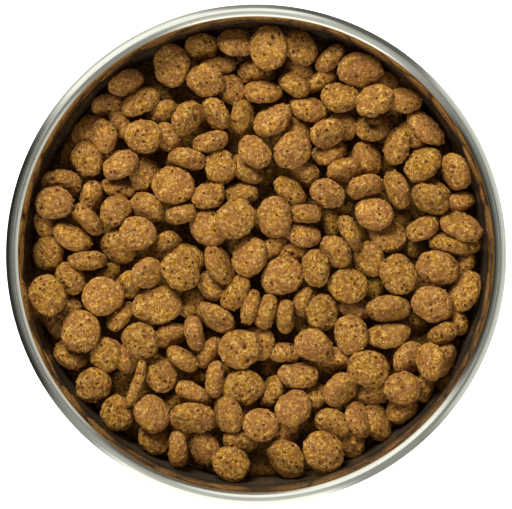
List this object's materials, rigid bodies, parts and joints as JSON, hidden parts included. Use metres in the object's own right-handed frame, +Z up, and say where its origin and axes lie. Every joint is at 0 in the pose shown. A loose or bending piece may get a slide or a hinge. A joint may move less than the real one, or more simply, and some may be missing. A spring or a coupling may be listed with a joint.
{
  "type": "pet food bowl",
  "caption": "Round stainless steel pet bowl with leaning sides, a rolled rim and a raised base panel, heaped with loose dry kibble.",
  "frame": {"origin": "centre of the flat ring under the bowl, on the surface that it stands on", "axes": "+Z up out of the bowl, +Y towards the top edge of the picture, +X to its right"},
  "size_m": [0.168, 0.168, 0.0549],
  "materials": {
    "steel": "polished stainless steel sheet with fine turning lines, mirror bright inside",
    "kibble": "matt baked golden brown kibble, mottled, with fine dark pores"
  },
  "bodies": {
    "root": {"bowl": "steel", "kibble_bed": "kibble", "kibble_01": "kibble", "kibble_02": "kibble", "kibble_03": "kibble", "kibble_04": "kibble", "kibble_05": "kibble", "kibble_06": "kibble", "kibble_07": "kibble", "kibble_08": "kibble", "kibble_09": "kibble", "kibble_10": "kibble", "kibble_11": "kibble", "kibble_12": "kibble", "kibble_13": "kibble", "kibble_14": "kibble", "kibble_15": "kibble", "kibble_16": "kibble", "kibble_17": "kibble", "kibble_18": "kibble", "kibble_19": "kibble", "kibble_20": "kibble", "kibble_21": "kibble", "kibble_22": "kibble", "kibble_23": "kibble", "kibble_24": "kibble", "kibble_25": "kibble", "kibble_26": "kibble", "kibble_27": "kibble", "kibble_28": "kibble", "kibble_29": "kibble", "kibble_30": "kibble", "kibble_31": "kibble", "kibble_32": "kibble", "kibble_33": "kibble", "kibble_34": "kibble", "kibble_35": "kibble", "kibble_36": "kibble", "kibble_37": "kibble", "kibble_38": "kibble", "kibble_39": "kibble", "kibble_40": "kibble", "kibble_41": "kibble", "kibble_42": "kibble", "kibble_43": "kibble", "kibble_44": "kibble", "kibble_45": "kibble", "kibble_46": "kibble", "kibble_47": "kibble", "kibble_48": "kibble", "kibble_49": "kibble", "kibble_50": "kibble", "kibble_51": "kibble", "kibble_52": "kibble", "kibble_53": "kibble", "kibble_54": "kibble", "kibble_55": "kibble", "kibble_56": "kibble", "kibble_57": "kibble", "kibble_flake": "kibble"}
  },
  "joints": []
}
